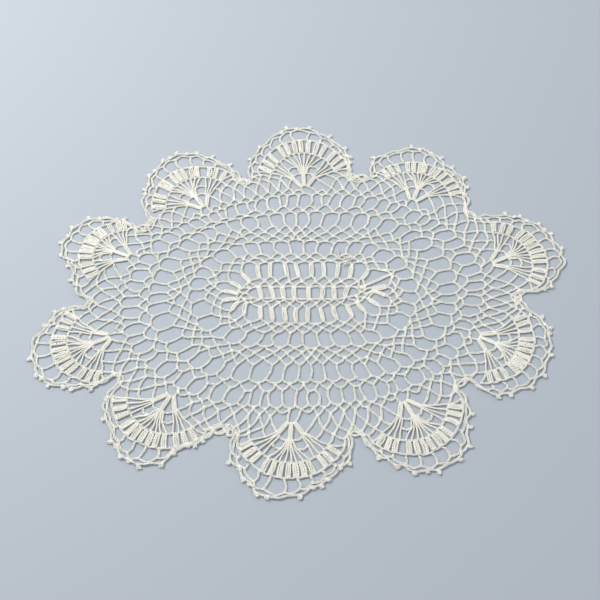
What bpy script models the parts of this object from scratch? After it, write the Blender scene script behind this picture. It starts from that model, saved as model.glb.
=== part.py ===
"""Oval crocheted lace doily, lying flat.

One flat sheet: a scalloped outline of ten fans, uneven as soft cotton lies, with the three rings
of large net gaps cut through it. The rounds of the net follow a core line, the foundation row at
the middle, so every ring is an oval at a constant distance from that line. Finer thread work is
not modelled here.

X runs along the doily, Y across it, Z up. The origin is the middle of the outline, on the
underside. Lengths below are in millimetres and are scaled to metres when the curve is made.
"""

import math
from typing import NamedTuple

import bpy

MM = 0.001
THICKNESS = 1.5             # cotton crochet lace, pressed flat
CORE_HALF_LENGTH = 38.0     # half the length of the foundation row that the rounds grow from
STEPS_PER_FAN = 14          # straight steps along each fan's edge
FAN_HALF_SPREAD = 76.0      # degrees from a fan's axis to the feet of its edge
BAR = 1.8                   # width left between two gaps for the thread between them

COTTON = (0.80, 0.76, 0.66, 1.0)
COTTON_ROUGHNESS = 0.9


class Fan(NamedTuple):
    """One fan: the root that it spreads from, its axis in degrees, and how far its edge reaches.

    The five reaches are evenly spread from the clockwise foot, over the tip, to the other foot.
    """

    name: str
    root_x: float
    root_y: float
    axis: float
    first_foot: float
    first_shoulder: float
    tip: float
    last_shoulder: float
    last_foot: float


class GapRing(NamedTuple):
    """A ring of like gaps: their number, the distance of their inner and outer ends from the core."""

    name: str
    count: int
    inner: float
    outer: float
    shoulder: float         # share of a gap's height over which it keeps its full width


# Anticlockwise from the right-hand end, seen from above.
FANS = [
    Fan("right_far", 145, 28, 22, 38, 50, 58.5, 54.5, 44),
    Fan("far_right", 88, 91, 68, 45, 48, 55, 57.5, 41.5),
    Fan("far", 1, 106, 93, 39, 53.5, 66, 56, 46),
    Fan("far_left", -79, 84, 122, 42, 52.5, 63, 52.5, 46),
    Fan("left_far", -134, 34, 155, 29, 44.5, 56.5, 47.5, 51),
    Fan("left_near", -142, -41, 205, 42, 49, 60.5, 50.5, 36),
    Fan("near_left", -94, -91, 245, 41, 51.5, 60.5, 43.5, 40),
    Fan("near", -8.5, -113, 269.5, 45, 51, 60, 52.5, 44),
    Fan("near_right", 71, -96, 298, 39, 51, 59, 47, 43),
    Fan("right_near", 129, -41, 330.5, 44, 52, 53, 51.5, 46.5),
]

GAP_RINGS = [
    GapRing("inner", 36, 36.8, 47.4, 0.62),
    GapRing("middle", 54, 63.4, 77.4, 0.58),
    GapRing("outer", 84, 84.6, 96.6, 0.70),
]


def reach(fan: Fan, share: float) -> float:
    """A fan's reach at a share of the way round its edge: a smooth curve through its five reaches."""
    stations = [fan.first_foot, fan.first_shoulder, fan.tip, fan.last_shoulder, fan.last_foot]
    along = share * (len(stations) - 1)
    left = min(int(along), len(stations) - 2)
    step = along - left
    before = stations[max(left - 1, 0)]
    start, end = stations[left], stations[left + 1]
    after = stations[min(left + 2, len(stations) - 1)]
    slope_in, slope_out = (end - before) / 2, (after - start) / 2
    return (
        start * (2 * step**3 - 3 * step**2 + 1)
        + slope_in * (step**3 - 2 * step**2 + step)
        + end * (3 * step**2 - 2 * step**3)
        + slope_out * (step**3 - step**2)
    )


def fan_edge(fan: Fan) -> list[tuple[float, float]]:
    """Points of one fan's edge, from its clockwise foot round to the other."""
    points = []
    for step in range(STEPS_PER_FAN + 1):
        share = step / STEPS_PER_FAN
        bearing = math.radians(fan.axis + FAN_HALF_SPREAD * (2 * share - 1))
        length = reach(fan, share)
        points.append((fan.root_x + length * math.cos(bearing), fan.root_y + length * math.sin(bearing)))
    return points


def outline_points() -> list[tuple[float, float]]:
    """The whole scalloped outline, one fan after another."""
    return [point for fan in FANS for point in fan_edge(fan)]


def middle(points: list[tuple[float, float]]) -> tuple[float, float]:
    """Middle of the box round some points."""
    xs = [x for x, _ in points]
    ys = [y for _, y in points]
    return (min(xs) + max(xs)) / 2, (min(ys) + max(ys)) / 2


def oval_point(share: float, distance: float) -> tuple[float, float, float]:
    """A point on the oval at a distance from the core line, and the direction out of the oval.

    share runs from 0 to 1 anticlockwise round that oval, from its right-hand end.
    """
    half_turn = math.pi * distance
    straight = 2 * CORE_HALF_LENGTH
    run = (share % 1.0) * 2 * (half_turn + straight)
    if run < half_turn / 2:
        bearing = run / distance
        return (CORE_HALF_LENGTH + distance * math.cos(bearing), distance * math.sin(bearing), bearing)
    run -= half_turn / 2
    if run < straight:
        return (CORE_HALF_LENGTH - run, distance, math.pi / 2)
    run -= straight
    if run < half_turn:
        bearing = math.pi / 2 + run / distance
        return (-CORE_HALF_LENGTH + distance * math.cos(bearing), distance * math.sin(bearing), bearing)
    run -= half_turn
    if run < straight:
        return (-CORE_HALF_LENGTH + run, -distance, 3 * math.pi / 2)
    bearing = 3 * math.pi / 2 + (run - straight) / distance
    return (CORE_HALF_LENGTH + distance * math.cos(bearing), distance * math.sin(bearing), bearing)


def gap_points(ring: GapRing, number: int) -> list[tuple[float, float]]:
    """One six-sided net gap: upright sides, with a shallow peak at its inner and outer ends."""
    middle_distance = (ring.inner + ring.outer) / 2
    around = 4 * CORE_HALF_LENGTH + 2 * math.pi * middle_distance
    x, y, bearing = oval_point((number + 0.5) / ring.count, middle_distance)
    half_width = (around / ring.count - BAR) / 2
    half_height = (ring.outer - ring.inner) / 2
    side = half_height * ring.shoulder
    corners = [
        (half_width, side),
        (0.0, half_height),
        (-half_width, side),
        (-half_width, -side),
        (0.0, -half_height),
        (half_width, -side),
    ]
    outward = (math.cos(bearing), math.sin(bearing))
    return [
        (x + across * outward[1] + up * outward[0], y - across * outward[0] + up * outward[1])
        for across, up in corners
    ]


def add_loop(curve: bpy.types.Curve, points: list[tuple[float, float]], origin: tuple[float, float]) -> None:
    """Add one closed straight-sided loop to a flat curve, in metres from the origin."""
    spline = curve.splines.new("POLY")
    spline.points.add(len(points) - 1)
    for target, (x, y) in zip(spline.points, points):
        target.co = ((x - origin[0]) * MM, (y - origin[1]) * MM, 0.0, 1.0)
    spline.use_cyclic_u = True


def cotton() -> bpy.types.Material:
    """Undyed cotton thread."""
    material = bpy.data.materials.new("undyed_cotton")
    material.use_nodes = True
    shader = material.node_tree.nodes["Principled BSDF"]
    shader.inputs["Base Color"].default_value = COTTON
    shader.inputs["Roughness"].default_value = COTTON_ROUGHNESS
    shader.inputs["Metallic"].default_value = 0.0
    return material


def build_doily(collection: bpy.types.Collection) -> bpy.types.Object:
    """The sheet: its outline and gaps as one flat curve, as thick as the lace, on the plane z = 0."""
    curve = bpy.data.curves.new("doily", "CURVE")
    curve.dimensions = "2D"
    curve.fill_mode = "BOTH"
    curve.extrude = THICKNESS * MM / 2
    outline = outline_points()
    origin = middle(outline)
    add_loop(curve, outline, origin)
    for ring in GAP_RINGS:
        for number in range(ring.count):
            add_loop(curve, gap_points(ring, number), origin)
    curve.materials.append(cotton())
    sheet = bpy.data.objects.new("doily", curve)
    sheet.location.z = THICKNESS * MM / 2
    collection.objects.link(sheet)
    return sheet


def main() -> None:
    """Clear the scene and build the doily."""
    for existing in list(bpy.data.objects):
        bpy.data.objects.remove(existing, do_unlink=True)
    collection = bpy.data.collections.new("lace_doily")
    bpy.context.scene.collection.children.link(collection)
    build_doily(collection)


main()
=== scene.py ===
"""Looks for an oval crocheted lace doily: every chain and tall stitch as thread, on a pale floor.

The lace is charted as it is crocheted, in rounds from a foundation row: small nets, a round of
blocks, three rings of large cells, then ten fans with nets in the valleys between them and a
double chain edge with picots. The chart is plain geometry in millimetres, measured from the
middle of the foundation row. It is eased like a pinned-out net, and then each line of it is
worked in real stitches.
"""

import logging
import math
import random
from dataclasses import dataclass, field
from enum import Enum

import bmesh
import bpy
import numpy as np
from mathutils import Matrix, Vector

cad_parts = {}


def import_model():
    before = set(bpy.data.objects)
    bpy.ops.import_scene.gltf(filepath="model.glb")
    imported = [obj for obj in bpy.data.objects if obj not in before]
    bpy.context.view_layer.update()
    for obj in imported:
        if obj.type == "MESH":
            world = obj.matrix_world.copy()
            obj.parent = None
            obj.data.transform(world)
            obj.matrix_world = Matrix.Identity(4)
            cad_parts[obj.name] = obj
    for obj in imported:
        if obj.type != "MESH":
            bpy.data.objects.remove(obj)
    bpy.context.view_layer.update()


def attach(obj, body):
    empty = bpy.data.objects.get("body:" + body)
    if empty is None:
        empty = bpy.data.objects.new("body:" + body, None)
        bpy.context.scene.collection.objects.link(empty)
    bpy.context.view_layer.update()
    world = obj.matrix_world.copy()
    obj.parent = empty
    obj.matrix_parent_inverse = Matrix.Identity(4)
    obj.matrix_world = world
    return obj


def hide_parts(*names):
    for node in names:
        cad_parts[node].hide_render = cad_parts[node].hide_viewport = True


MM = 0.001
SEED = 11
NODE = "doily"
BODY = "root"
LOG = logging.getLogger("doily")

# Width and length of each ring-shaped net, opened out straight, in metres.
NET_BANDS = {"inner_net": (0.027, 0.46), "outer_net": (0.035, 0.64)}
# Where the middle of the doily's outline lies from the middle of the foundation row, in mm.
OUTLINE_MIDDLE = (1.068, -0.544)

# How firmly a junction that never moves is held.
FIRM = 9.0
# Shares of the way round are counted at this distance from the row, in mm.
NET_REACH = 60.0
# The outer rounds stray from the true oval more and more over this distance, in mm.
STRAY_RAMP = 37.0
# How far out the fans' roots lie on the true oval, and the most that one lies beyond it, in mm.
ROOT_REACH = 106.0
MOST_OUTWARD = 2.5
# From a fan's axis to either foot of its edge, in degrees.
FAN_HALF_SPREAD = 76.0
# How many arches the last round of the net has, and how far out their crests lie, in mm.
LAST_ARCHES = 84
LAST_CREST = 102.6
EASE_STEPS = 260

Point = tuple[float, float]


class Stitch(Enum):
    """What a line of the chart is worked in."""

    CHAIN = "chain"
    TALL = "tall"


@dataclass(frozen=True)
class FanPlan:
    """One fan of the border, in millimetres from the middle of the foundation row.

    axis is in degrees. block_tip and block_side are how far out its blocks start, at the axis and
    at its sides, block is their length, and lean turns the fan's inside a little round its root.
    The nine reaches run from the clockwise foot of its edge, over the tip, to the other foot.
    """

    name: str
    root_x: float
    root_y: float
    axis: float
    block_tip: float
    block_side: float
    block: float
    lean: float
    reaches: tuple[float, ...]

    def reach(self, share: float) -> float:
        """How far the edge lies from the root.

        Args:
            share: 0 at the first foot and 1 at the last.

        Returns:
            Millimetres, on a smooth curve through the nine reaches.
        """
        spans = len(self.reaches) - 1
        along = max(0.0, min(0.9999, share)) * spans
        step = int(along)
        rest = along - step
        start, end = self.reaches[step], self.reaches[step + 1]
        before, after = self.reaches[max(step - 1, 0)], self.reaches[min(step + 2, spans)]
        leave, arrive = (end - before) / 2, (after - start) / 2
        cube, square = rest**3, rest**2
        return (
            start * (2 * cube - 3 * square + 1)
            + leave * (cube - 2 * square + rest)
            + end * (3 * square - 2 * cube)
            + arrive * (cube - square)
        )

    def edge(self, swing: float) -> float:
        """How far the edge lies from the root at a swing, in degrees, from the axis."""
        return self.reach((swing / FAN_HALF_SPREAD + 1) / 2)

    def blocks(self, swing: float) -> float:
        """How far out the blocks start at a swing, in degrees, from the axis."""
        return self.block_side + (self.block_tip - self.block_side) * math.cos(math.radians(swing)) ** 2

    def polar(self, distance: float, swing: float) -> Point:
        """The point at a distance from the root and a swing, in degrees, from the axis."""
        bearing = math.radians(self.axis + swing)
        return self.root_x + distance * math.cos(bearing), self.root_y + distance * math.sin(bearing)


# Anticlockwise from the right-hand end, seen from above.
FANS = (
    FanPlan(
        "right_far", 145, 28, 22, 31.5, 30.5, 10.5, 3,
        (36, 46, 50, 56.5, 55.5, 55.5, 52.5, 49.5, 48),
    ),
    FanPlan(
        "far_right", 88, 91, 68, 30.5, 31.0, 10, 2,
        (45, 44, 48, 47.5, 54.5, 57.5, 55.5, 53.5, 43.5),
    ),
    FanPlan(
        "far", 1, 106, 93, 37.0, 27.5, 13, 0,
        (40.5, 47, 53.5, 60, 66, 63, 56.5, 52.5, 47),
    ),
    FanPlan(
        "far_left", -79, 84, 122, 33.0, 30.0, 11, 2,
        (43, 47.5, 52, 60.5, 61.5, 57.5, 51, 50, 45),
    ),
    FanPlan(
        "left_far", -134, 34, 155, 28.5, 26.5, 10, 2,
        (28, 36.5, 43, 52.5, 54.5, 54, 46, 48, 52),
    ),
    FanPlan(
        "left_near", -142, -41, 205, 31.5, 30.0, 10.5, 0,
        (37, 47, 49, 57, 58.5, 57.5, 50, 43.5, 36.5),
    ),
    FanPlan(
        "near_left", -94, -91, 245, 31.5, 31.0, 10.5, -2,
        (42.5, 48, 48.5, 53.5, 59, 55.5, 44.5, 45.5, 45),
    ),
    FanPlan(
        "near", -8.5, -113, 269.5, 32.0, 31.5, 10.5, -3,
        (42.5, 50.5, 53, 60.5, 57.5, 53.5, 50.5, 50, 44),
    ),
    FanPlan(
        "near_right", 71, -96, 298, 32.0, 30.5, 10.5, -2,
        (44, 47.5, 51, 57, 58, 56, 48, 46.5, 42),
    ),
    FanPlan(
        "right_near", 129, -41, 330.5, 29.0, 31.5, 10, 2,
        (41, 49.5, 52, 53.5, 53, 52, 52.5, 49, 48),
    ),
)


@dataclass(frozen=True)
class Oval:
    """The oval that the rounds follow: lines at a constant distance from the foundation row."""

    half_length: float = 38.0

    def around(self, distance: float) -> float:
        """Length of the oval at a distance from the row."""
        return 4 * self.half_length + 2 * math.pi * distance

    def ray(self, share: float, distance: float) -> Point:
        """Find the ray out of the row through a point of the oval.

        Args:
            share: share of the way round, anticlockwise from the right-hand end.
            distance: how far the oval runs from the foundation row.

        Returns:
            The place along the row where the ray starts, and its bearing in radians.
        """
        half_turn, straight = math.pi * distance, 2 * self.half_length
        run = (share % 1.0) * self.around(distance)
        if run < half_turn / 2:
            return self.half_length, run / distance
        run -= half_turn / 2
        if run < straight:
            return self.half_length - run, math.pi / 2
        run -= straight
        if run < half_turn:
            return -self.half_length, math.pi / 2 + run / distance
        run -= half_turn
        if run < straight:
            return -self.half_length + run, 1.5 * math.pi
        return self.half_length, 1.5 * math.pi + (run - straight) / distance

    def share(self, along: float, bearing: float, distance: float) -> float:
        """Find the share at which a ray crosses the oval, the reverse of ray().

        Args:
            along: where the ray starts on the row.
            bearing: its bearing in radians.
            distance: how far the oval runs from the row.

        Returns:
            The share of the way round.
        """
        quarter, straight = math.pi * distance / 2, 2 * self.half_length
        bearing %= 2 * math.pi
        if along >= self.half_length:
            run = bearing * distance + (2 * straight if bearing > math.pi else 0.0)
        elif along <= -self.half_length:
            run = bearing * distance + straight
        elif bearing < math.pi:
            run = quarter + self.half_length - along
        else:
            run = 3 * quarter + straight + self.half_length + along
        return run / self.around(distance)

    def point(self, along: float, bearing: float, distance: float) -> Point:
        """The point of a ray at a distance from the row."""
        return along + distance * math.cos(bearing), distance * math.sin(bearing)

    def carry(self, share: float, distance: float, other: float) -> float:
        """Carry a share along its ray from the oval at one distance to the oval at another."""
        turns = math.floor(share)
        return turns + self.share(*self.ray(share, distance), other)

    def locate(self, x: float, y: float) -> Point:
        """Find where a point lies on the oval through it.

        Args:
            x: of the point.
            y: of the point.

        Returns:
            Share of the way round and distance from the row.
        """
        along = max(-self.half_length, min(self.half_length, x))
        distance = math.hypot(x - along, y)
        return self.share(along, math.atan2(y, x - along), distance), distance


@dataclass
class Line:
    """One worked line of the chart: the junctions that it runs through, in order."""

    piece: str
    stitch: Stitch
    nodes: list[int]
    bow: float = 0.0
    lift: float = 0.0
    strands: int = 1
    pitch: float = 1.15
    plump: float = 1.0
    wobble: float = 0.0


@dataclass
class Arch:
    """A chain arch and the shares, at the net's reach, between which it hangs."""

    nodes: list[int]
    first: float
    last: float

    def share(self, part: float) -> float:
        """The share at a part of the way along the arch."""
        return self.first + part * (self.last - self.first)


@dataclass
class Chart:
    """The doily's plan: junctions, and the lines of stitches between them."""

    oval: Oval = field(default_factory=Oval)
    places: list[Point] = field(default_factory=list)
    holds: list[float] = field(default_factory=list)
    lines: list[Line] = field(default_factory=list)
    chance: random.Random = field(default_factory=lambda: random.Random(SEED))
    drift: list[tuple[float, float, float]] = field(default_factory=list)
    # A stretch of thread pulls towards a length between its own and this range, a little short.
    usual_least: float = 4.4
    usual_most: float = 9.5
    own_share: float = 0.45
    usual_share: float = 0.55
    tension: float = 0.9
    step_size: float = 0.45

    def node(self, x: float, y: float, hold: float = 0.0) -> int:
        """Add a junction.

        Args:
            x: of its place.
            y: of its place.
            hold: how firmly it keeps its place: 0 is free, FIRM is fixed.

        Returns:
            The junction's number.
        """
        self.places.append((x, y))
        self.holds.append(hold)
        return len(self.places) - 1

    def line(self, piece: str, stitch: Stitch, nodes: list[int], **facts: float) -> None:
        """Add a worked line through some junctions. The list of junctions stays shared."""
        self.lines.append(Line(piece, stitch, nodes, **facts))

    def split(self, arch: Arch, take: int) -> list[int]:
        """Put evenly spaced junctions into an arch.

        Args:
            arch: the arch, which gets them between its ends.
            take: how many.

        Returns:
            The new junctions.
        """
        first, last = self.places[arch.nodes[0]], self.places[arch.nodes[-1]]
        added = []
        for step in range(take):
            part = (step + 1) / (take + 1)
            x = first[0] + (last[0] - first[0]) * part
            y = first[1] + (last[1] - first[1]) * part
            added.append(self.node(x, y))
        arch.nodes[1:1] = added
        return added

    def wander(self, share: float, distance: float) -> tuple[float, float]:
        """How far the outer rounds stray, between the fans' roots, from the true oval.

        Args:
            share: share of the way round, at the net's reach.
            distance: distance from the row.

        Returns:
            The change of share and of distance.
        """
        ramp = max(0.0, min(1.0, (distance - NET_REACH) / STRAY_RAMP))
        ramp = ramp * ramp * (3 - 2 * ramp)
        spots = self.drift
        for (a, slip_a, warp_a), (b, slip_b, warp_b) in zip(spots, spots[1:]):
            if a <= share % 1.0 <= b:
                part = (share % 1.0 - a) / (b - a)
                soft = part * part * (3 - 2 * part)
                slip = slip_a + (slip_b - slip_a) * part
                return ramp * slip, ramp * (warp_a + (warp_b - warp_a) * soft)
        return 0.0, 0.0

    def on_ray(self, share: float, distance: float, hold: float = 0.0, jitter: float = 0.35) -> int:
        """Add a junction.

        Args:
            share: share of the way round, at the net's reach.
            distance: distance from the foundation row.
            hold: how firmly it keeps its place.
            jitter: spread of its uneven place, in millimetres.

        Returns:
            The junction's number.
        """
        slip, warp = self.wander(share, distance)
        along, bearing = self.oval.ray(share + slip, NET_REACH)
        x, y = self.oval.point(along, bearing, distance + warp)
        return self.node(x + self.chance.gauss(0, jitter), y + self.chance.gauss(0, jitter), hold)

    def ease(self, rounds: int) -> None:
        """Ease the free junctions as a pinned-out net eases, each thread keeping near its length.

        Args:
            rounds: how many small moves to make.
        """
        places = np.array(self.places)
        hold = np.array(self.holds)
        start = places.copy()
        links = [(a, b) for line in self.lines for a, b in zip(line.nodes, line.nodes[1:])]
        first = np.array([a for a, _ in links])
        last = np.array([b for _, b in links])
        length = np.linalg.norm(places[last] - places[first], axis=1)
        usual = np.clip(length, self.usual_least, self.usual_most)
        rest = (self.own_share * length + self.usual_share * usual) * self.tension
        count = np.zeros(len(places))
        np.add.at(count, first, 1)
        np.add.at(count, last, 1)
        count = np.maximum(count, 1)
        free = (hold < FIRM)[:, None]
        for _ in range(rounds):
            gap = places[last] - places[first]
            size = np.maximum(np.linalg.norm(gap, axis=1), 1e-6)
            force = gap * ((size - rest) / size)[:, None]
            move = (start - places) * (hold * count)[:, None]
            np.add.at(move, first, force)
            np.add.at(move, last, -force)
            places += free * move * (self.step_size / (count * (1 + hold)))[:, None]
        self.places = [(float(x), float(y)) for x, y in places]


def deal(arches: list[Arch], shares: list[float]) -> tuple[int, list[int]]:
    """Deal the next round's junctions out to arches, one or two to each, moving them least.

    Args:
        arches: the arches of the round before, in order.
        shares: where the new junctions are wanted, in order.

    Returns:
        The index of the junction that comes first, and how many each arch takes.
    """
    total = len(shares)
    best, chosen = math.inf, (0, [])
    for start in (-2, -1, 0, 1, 2):
        table = {0: (0.0, [])}
        for arch in arches:
            after: dict[int, tuple[float, list[int]]] = {}
            for used, (spent, picks) in table.items():
                for take in (1, 2):
                    if used + take > total:
                        continue
                    cost = spent
                    for step in range(take):
                        index = start + used + step
                        share = shares[index % total] + index // total
                        target = arch.share((step + 1) / (take + 1))
                        cost += (share - target) ** 2
                    if cost < after.get(used + take, (math.inf, []))[0]:
                        after[used + take] = (cost, picks + [take])
            table = after
        spent, picks = table.get(total, (math.inf, []))
        if spent < best:
            best, chosen = spent, (start, picks)
    return chosen


@dataclass
class Rounds:
    """The rounds from the foundation row to the foot of the fans."""

    chart: Chart
    arches: list[Arch] = field(default_factory=list)
    uneven: float = 0.09
    arch_bow: float = 0.75
    arch_wobble: float = 0.28

    def spread(self, count: int, distance: float, phase: float = 0.0) -> list[float]:
        """Evenly spaced shares, carried to the net's reach from the oval at a distance."""
        return [self.chart.oval.carry((i + phase) / count, distance, NET_REACH) for i in range(count)]

    def join_on(self, shares: list[float]) -> list[tuple[int, float]]:
        """Put a new round's junctions into the last round's arches.

        Args:
            shares: where they are wanted, at the net's reach.

        Returns:
            Each junction and its share, in the order of the wanted ones.
        """
        joined = []
        start, takes = deal(self.arches, shares)
        for arch, take in zip(self.arches, takes):
            for step, node in enumerate(self.chart.split(arch, take)):
                joined.append((node, arch.share((step + 1) / (take + 1))))
        total = len(joined)
        order = []
        for index in range(total):
            turns, place = divmod(index - start, total)
            node, share = joined[place]
            order.append((node, share + turns))
        return order

    def hang(self, piece: str, joined: list[tuple[int, float]], bow: float) -> None:
        """Hang one round's arches between junctions that are in order round the oval.

        Args:
            piece: the piece that they belong to.
            joined: each junction and its share.
            bow: how far an arch bows, in millimetres.
        """
        self.arches = []
        for (a, first), (b, last) in zip(joined, joined[1:] + joined[:1]):
            arch = Arch([a, b], first, last if last > first else last + 1)
            self.arches.append(arch)
            self.chart.line(
                piece, Stitch.CHAIN, arch.nodes, bow=bow * self.arch_bow, wobble=self.arch_wobble
            )

    def settle(self, distance: float, hold: float = 0.02, jitter: float = 0.55) -> None:
        """Move the junctions in the last round's arches out to that round's crest.

        Args:
            distance: of the crest from the row.
            hold: how firmly they then keep their place.
            jitter: spread of their uneven places, in millimetres.
        """
        chart = self.chart
        for arch in self.arches:
            inside = arch.nodes[1:-1]
            for step, node in enumerate(inside):
                share = arch.share((step + 1) / (len(inside) + 1))
                spot = chart.on_ray(share, distance, 0.0, jitter)
                chart.places[node] = chart.places[spot]
                chart.holds[node] = hold

    def arch_round(
        self, piece: str, count: int, below: float, phase: float = 0.5, bow: float = 1.0
    ) -> None:
        """Work a round of arches into the last round.

        Args:
            piece: the piece that it belongs to.
            count: how many arches.
            below: distance of the crests that it is worked into.
            phase: where its first junction falls, in spaces.
            bow: how far each arch bows, in millimetres.
        """
        joined = self.join_on(self.spread(count, below, phase))
        self.settle(below)
        self.hang(piece, joined, bow)

    def ladder_round(self, piece: str, count: int, inner: float, outer: float, phase: float) -> None:
        """Work a ring of large cells: long legs out of the last round, and a chain over their tops.

        Args:
            piece: the piece that it belongs to.
            count: how many legs.
            inner: distance of their feet from the row.
            outer: distance of their tops.
            phase: where the first leg falls, in spaces.
        """
        chart = self.chart
        even = self.spread(count, inner, phase)
        wanted = [share + chart.chance.gauss(0, self.uneven / count) for share in even]
        joined = self.join_on(wanted)
        self.settle(inner, 0.15)
        tops = []
        for (foot, share), top_share in zip(joined, self.spread(count, outer, phase)):
            if abs(top_share - share) > 0.5:
                top_share += round(share - top_share)
            top = chart.on_ray(0.35 * share + 0.65 * top_share, outer, 0.12, 0.45)
            chart.line(piece, Stitch.CHAIN, [foot, top], bow=chart.chance.gauss(0, 0.8))
            tops.append((top, 0.35 * share + 0.65 * top_share))
        self.hang(piece, tops, 1.2)


@dataclass
class CentreRounds(Rounds):
    """The foundation row, its net, the round of blocks and the net round it."""

    name: str = "centre_rounds"
    end_stretch: Point = (1.05, 1.5)
    # Middle, bearing and length of the blocks in the row.
    row_blocks: tuple[tuple[float, ...], ...] = (
        (32.6, 0.2, 74, 9.4),
        (23.2, -0.8, 92, 10.6),
        (14.1, -0.9, 84, 10.4),
        (4.0, -1.2, 92, 10.0),
        (-6.6, -0.8, 93, 10.6),
        (-15.2, -0.8, 99, 10.4),
        (-23.4, -0.6, 105, 10.6),
        (-32.5, -0.4, 104, 10.8),
    )
    # Middle, bearing, length and posts of the blocks round it, anticlockwise from the right-hand
    # end. The second is the long loose one.
    round_blocks: tuple[tuple[float, ...], ...] = (
        (57.5, 4.2, 10, 10.2, 4),
        (55.1, 10.6, 28, 27.7, 2),
        (46.8, 16.5, 60, 9.6, 3),
        (36.2, 18.7, 80, 11.2, 3),
        (26.1, 19.8, 82, 12.2, 3),
        (15.5, 20.8, 92, 12.4, 3),
        (6.2, 20.4, 91, 12.0, 3),
        (-4.4, 19.5, 103, 11.6, 3),
        (-13.1, 20.7, 99, 11.8, 3),
        (-25.1, 20.3, 90, 12.6, 3),
        (-33.9, 18.6, 99, 11.6, 3),
        (-43.2, 13.2, 129, 9.8, 3),
        (-51.0, 6.4, 146, 9.2, 3),
        (-54.6, -0.6, 166, 9.8, 3),
        (-54.8, -7.2, 188, 9.8, 3),
        (-50.8, -13.0, 238, 8.6, 3),
        (-43.1, -14.6, 264, 10.6, 3),
        (-31.7, -18.7, 274, 10.6, 3),
        (-23.3, -19.8, 278, 11.2, 3),
        (-13.5, -20.6, 277, 10.8, 3),
        (-5.3, -20.8, 270, 11.0, 3),
        (3.3, -20.5, 268, 11.2, 3),
        (13.4, -20.0, 283, 11.2, 3),
        (23.6, -18.8, 284, 10.6, 3),
        (34.2, -17.0, 291, 10.6, 3),
        (42.9, -13.8, 304, 9.6, 3),
        (52.0, -9.0, 320, 10.0, 3),
        (57.2, -1.4, 334, 9.6, 3),
    )

    # The ways of the frayed ends.
    frayed: tuple[tuple[Point, ...], ...] = (
        ((26.4, 40.6), (27.2, 36.0), (25.6, 31.6), (29.0, 33.6), (34.6, 33.2), (38.6, 31.4)),
        ((28.0, 30.4), (33.2, 31.6), (37.4, 33.8), (36.0, 29.4), (31.4, 27.2), (35.4, 25.6)),
        ((30.2, 24.6), (33.6, 29.0), (35.8, 33.0), (31.0, 31.8), (29.6, 28.2), (33.0, 25.0)),
    )

    def row(self) -> None:
        """Work the foundation row: two chains with blocks between, meeting at the ends."""
        chart = self.chart
        far, near = [], []
        for x, y, bearing, length in self.row_blocks:
            out_x, out_y = self.half_block(bearing, length)
            far.append(chart.node(x + out_x, y + out_y, FIRM))
            near.append(chart.node(x - out_x, y - out_y, FIRM))
        right = chart.node(43.0, 0.0, FIRM)
        left = chart.node(-42.5, -1.0, FIRM)
        for top, foot in zip(far, near):
            bow = chart.chance.gauss(0, 0.4)
            chart.line(self.name, Stitch.TALL, [foot, top], strands=3, bow=bow, pitch=1.25, plump=1.25)
        ring = [right] + far + [left] + near[::-1]
        self.hang(self.name, [(node, self.share_at(chart.places[node])) for node in ring], 1.0)

    @staticmethod
    def half_block(bearing: float, length: float) -> Point:
        """From the middle of a block to its outer end."""
        turn = math.radians(bearing)
        return math.cos(turn) * length / 2, math.sin(turn) * length / 2

    def share_at(self, spot: Point) -> float:
        """The share of a point, carried to the net's reach."""
        share, distance = self.chart.oval.locate(*spot)
        return self.chart.oval.carry(share, distance, NET_REACH)

    def block_ends(self) -> list[tuple[Point, Point, int]]:
        """Find the ends of the blocks of the round.

        Returns:
            Foot, top and number of posts of each, in order round the oval.
        """
        ends = []
        for x, y, bearing, length, posts in self.round_blocks:
            out_x, out_y = self.half_block(bearing, length)
            ends.append(((x - out_x, y - out_y), (x + out_x, y + out_y), int(posts)))
        return ends

    def grow(self, extra: int) -> list[tuple[int, float]]:
        """Put one junction in each arch, and a second one in those nearest the oval's ends.

        Args:
            extra: how many arches take two.

        Returns:
            Each junction and its share, in order.
        """
        chart = self.chart
        middles = [
            sum(chart.places[node][0] for node in arch.nodes) / len(arch.nodes) for arch in self.arches
        ]
        order = sorted(range(len(middles)), key=lambda i: middles[i])
        doubled = set(order[: extra // 2] + order[len(order) - (extra - extra // 2) :])
        joined = []
        for index, arch in enumerate(self.arches):
            take = 2 if index in doubled else 1
            for step, node in enumerate(chart.split(arch, take)):
                joined.append((node, arch.share((step + 1) / (take + 1))))
        return joined

    def first_round(self) -> None:
        """Work arches from block end to block end of the row, and two at each turn of its ends."""
        chart = self.chart
        joined = []
        quarter = len(self.row_blocks)
        for index, arch in enumerate(list(self.arches)):
            joined.append((arch.nodes[0], arch.first))
            if index % (quarter + 1) in (0, quarter):
                node = chart.split(arch, 1)[0]
                x, y = chart.places[node]
                chart.places[node] = (x * self.end_stretch[0], y * self.end_stretch[1])
                chart.holds[node] = 1.0
                joined.append((node, (arch.first + arch.last) / 2))
        self.hang(self.name, joined, 1.0)

    def growing_round(self, extra: int, below: float) -> None:
        """Work a round of arches that has a few more than the last, at the oval's ends.

        Args:
            extra: how many more.
            below: distance of the crests that it is worked into.
        """
        joined = self.grow(extra)
        self.settle(below, 0.2)
        self.hang(self.name, joined, 1.0)

    def block_round(self) -> None:
        """Work the round of blocks and the arches over their tops."""
        chart = self.chart
        ends = self.block_ends()
        joined = self.grow(len(ends) - len(self.arches))
        places = [chart.places[node] for node, _ in joined]
        count = len(ends)

        def mismatch(shift: int) -> float:
            """How far the junctions lie from the blocks' feet when they are dealt out from a shift."""
            return sum(math.dist(places[(i + shift) % count], ends[i][0]) for i in range(count))

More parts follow.
